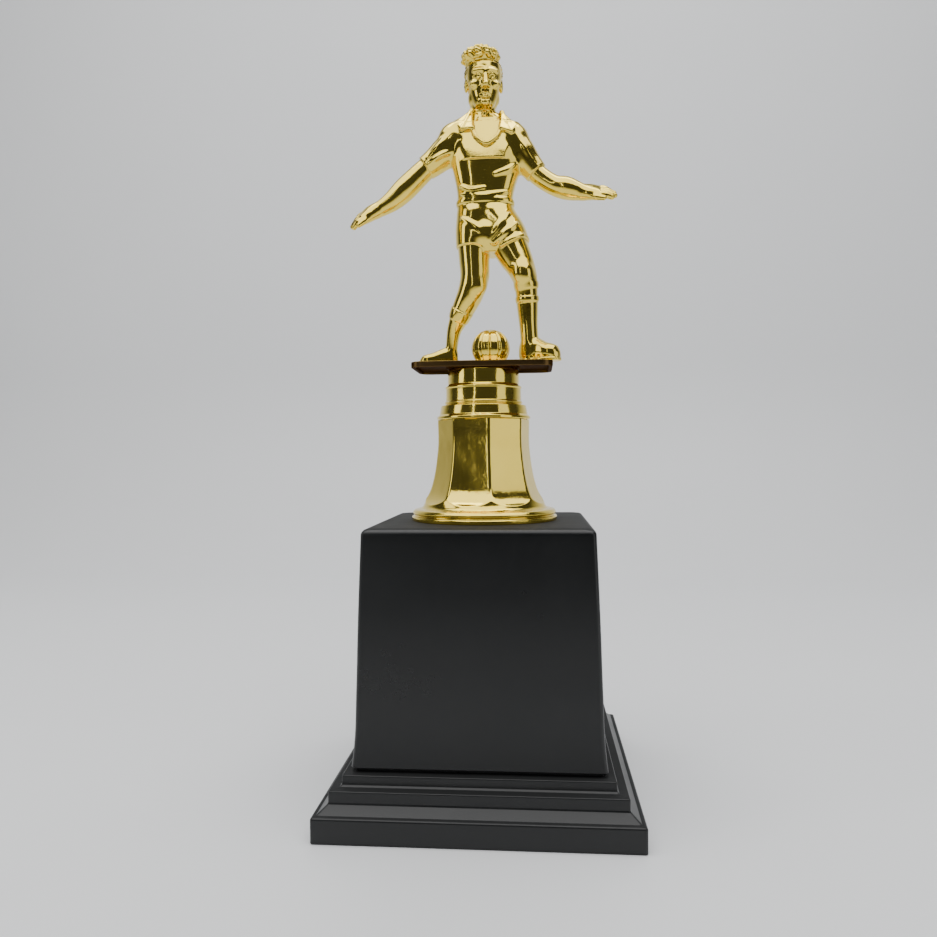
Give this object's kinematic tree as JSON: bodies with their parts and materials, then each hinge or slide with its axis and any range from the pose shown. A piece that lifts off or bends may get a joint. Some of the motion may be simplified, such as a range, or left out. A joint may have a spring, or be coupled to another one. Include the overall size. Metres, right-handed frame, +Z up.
{
  "type": "figure trophy",
  "caption": "Footballer figure with ball on a ground plate, on a banded eight-sided bell riser and a stepped, tapered plinth, clamped by a central rod.",
  "frame": {"origin": "centre of the underside of the plinth", "axes": "+X to the viewer's right, +Y away from the viewer, +Z up; the figure faces -Y"},
  "size_m": [0.0974, 0.0974, 0.253],
  "materials": {
    "black_plastic": "satin black injection moulding",
    "gold_plastic": "vacuum-metallised gold, mirror gloss",
    "plated_steel": "zinc plated"
  },
  "bodies": {
    "plinth": {"plinth_foot": "black_plastic", "plinth_column": "black_plastic"},
    "riser": {"riser_bell": "gold_plastic", "riser_collar": "gold_plastic"},
    "figure": {"figure_plate": "gold_plastic", "ball": "gold_plastic", "footballer": "gold_plastic", "captive_nut": "plated_steel", "threaded_rod": "plated_steel", "clamp_washer": "plated_steel", "spring_washer": "plated_steel", "clamp_nut": "plated_steel"}
  },
  "joints": [
    {"name": "riser_turn", "type": "hinge", "parent": "plinth", "child": "riser", "pos_m": [0, 0, 0.091], "axis": [0, 0, 1], "continuous": true},
    {"name": "figure_turn", "type": "hinge", "parent": "riser", "child": "figure", "pos_m": [0, 0, 0.1426], "axis": [0, 0, 1], "continuous": true}
  ]
}
